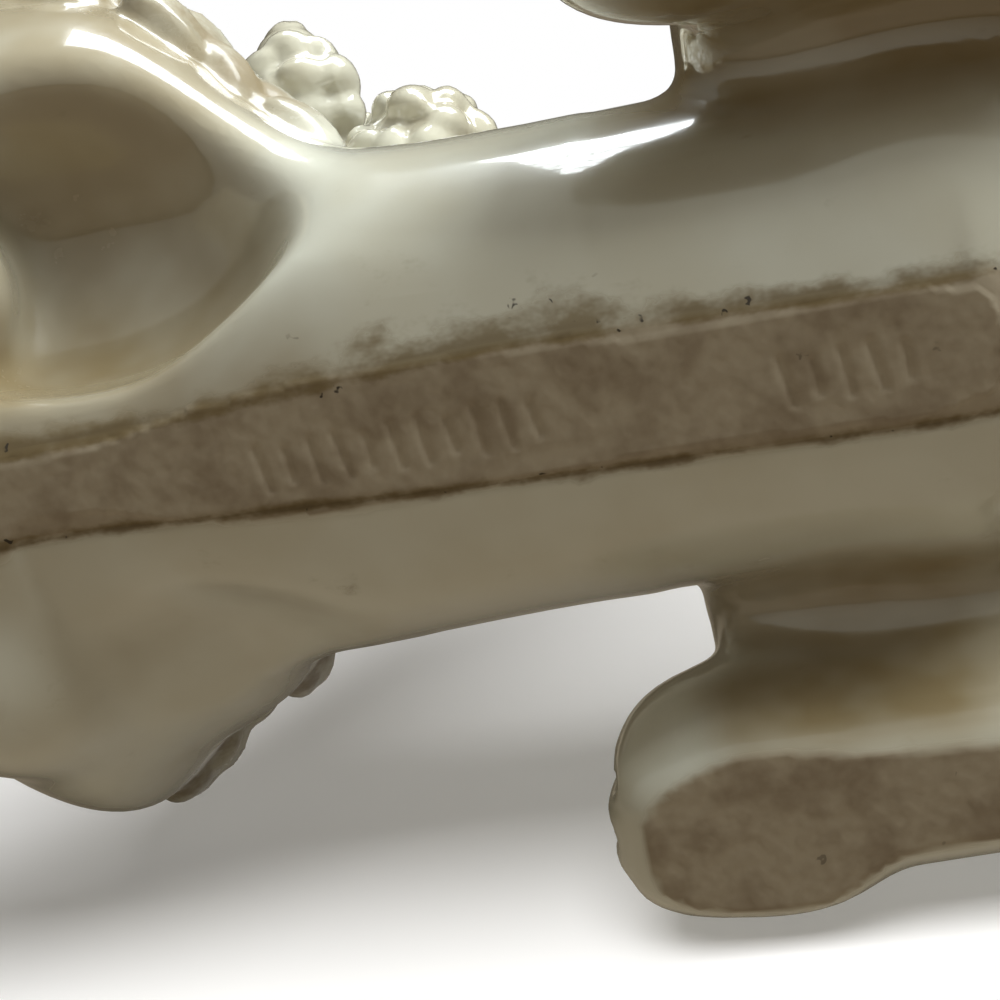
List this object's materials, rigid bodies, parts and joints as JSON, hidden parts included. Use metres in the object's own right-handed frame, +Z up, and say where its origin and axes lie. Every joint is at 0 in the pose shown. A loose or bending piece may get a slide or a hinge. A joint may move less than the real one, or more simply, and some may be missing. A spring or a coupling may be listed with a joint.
{
  "type": "poodle figurine",
  "caption": "Glazed ceramic figurine of a lying poodle with a curly mane, its head turned to one side; it rests on a flat belly strip and flat soles.",
  "frame": {"origin": "middle of the outline seen from above, on the ground the figurine rests on", "axes": "the animal faces -X, its left side is -Y where its head turns, +Z is up"},
  "size_m": [0.2188, 0.124, 0.1349],
  "materials": {
    "glaze": "glossy cream glaze over earthenware, brown stain in the hollows, belly strip and soles wiped bare"
  },
  "bodies": {
    "root": {"poodle_figurine": "glaze"}
  },
  "joints": []
}
